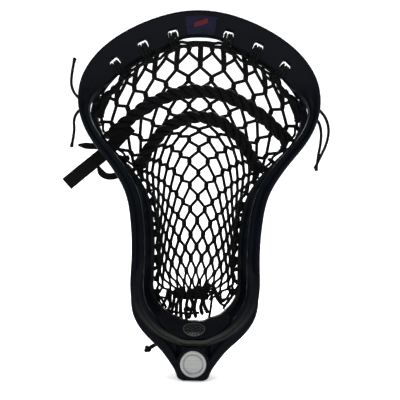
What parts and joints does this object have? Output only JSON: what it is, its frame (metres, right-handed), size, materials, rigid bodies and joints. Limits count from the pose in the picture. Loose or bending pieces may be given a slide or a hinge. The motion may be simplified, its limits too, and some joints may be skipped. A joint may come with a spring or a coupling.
{
  "type": "strung lacrosse head",
  "caption": "Strung field lacrosse head: black moulded frame with open sidewalls and scoop, knitted mesh pocket, rolled shooting laces, lashings, loose string ends and an empty shaft socket.",
  "frame": {"origin": "centre of the mouth of the shaft socket", "axes": "+Z along the shaft towards the scoop, the open face looks along -Y, the pocket bulges to +Y, +X to the right seen from the open face"},
  "size_m": [0.2239, 0.0947, 0.293],
  "materials": {
    "moulded_nylon": "satin moulded nylon, fine texture",
    "stop_foam": "closed-cell foam",
    "badge_rubber": "moulded rubber with a raised lattice",
    "silver_disc": "brushed, with raised rings",
    "navy_film": "printed film, plain",
    "mesh_cord": "knitted nylon cord, waxed",
    "braided_string": "braided nylon string",
    "shooting_lace": "woven lace, rolled"
  },
  "bodies": {
    "root": {"head_frame": "moulded_nylon", "ball_stop_pad": "stop_foam", "ball_stop_badge": "badge_rubber", "throat_medallion": "silver_disc", "scoop_decal": "navy_film", "mesh_pocket": "mesh_cord", "top_string": "braided_string", "sidewall_string_left": "braided_string", "sidewall_string_right": "braided_string", "bottom_string": "braided_string", "upper_shooting_string": "shooting_lace", "lower_shooting_string": "shooting_lace", "top_tail_left_up": "braided_string", "top_tail_left_down": "braided_string", "top_tail_right_long": "braided_string", "top_tail_right_short": "braided_string", "bottom_tail": "braided_string", "lace_tail_wide": "shooting_lace", "lace_tail_pointed": "shooting_lace", "lace_tail_hooked": "shooting_lace"}
  },
  "joints": []
}
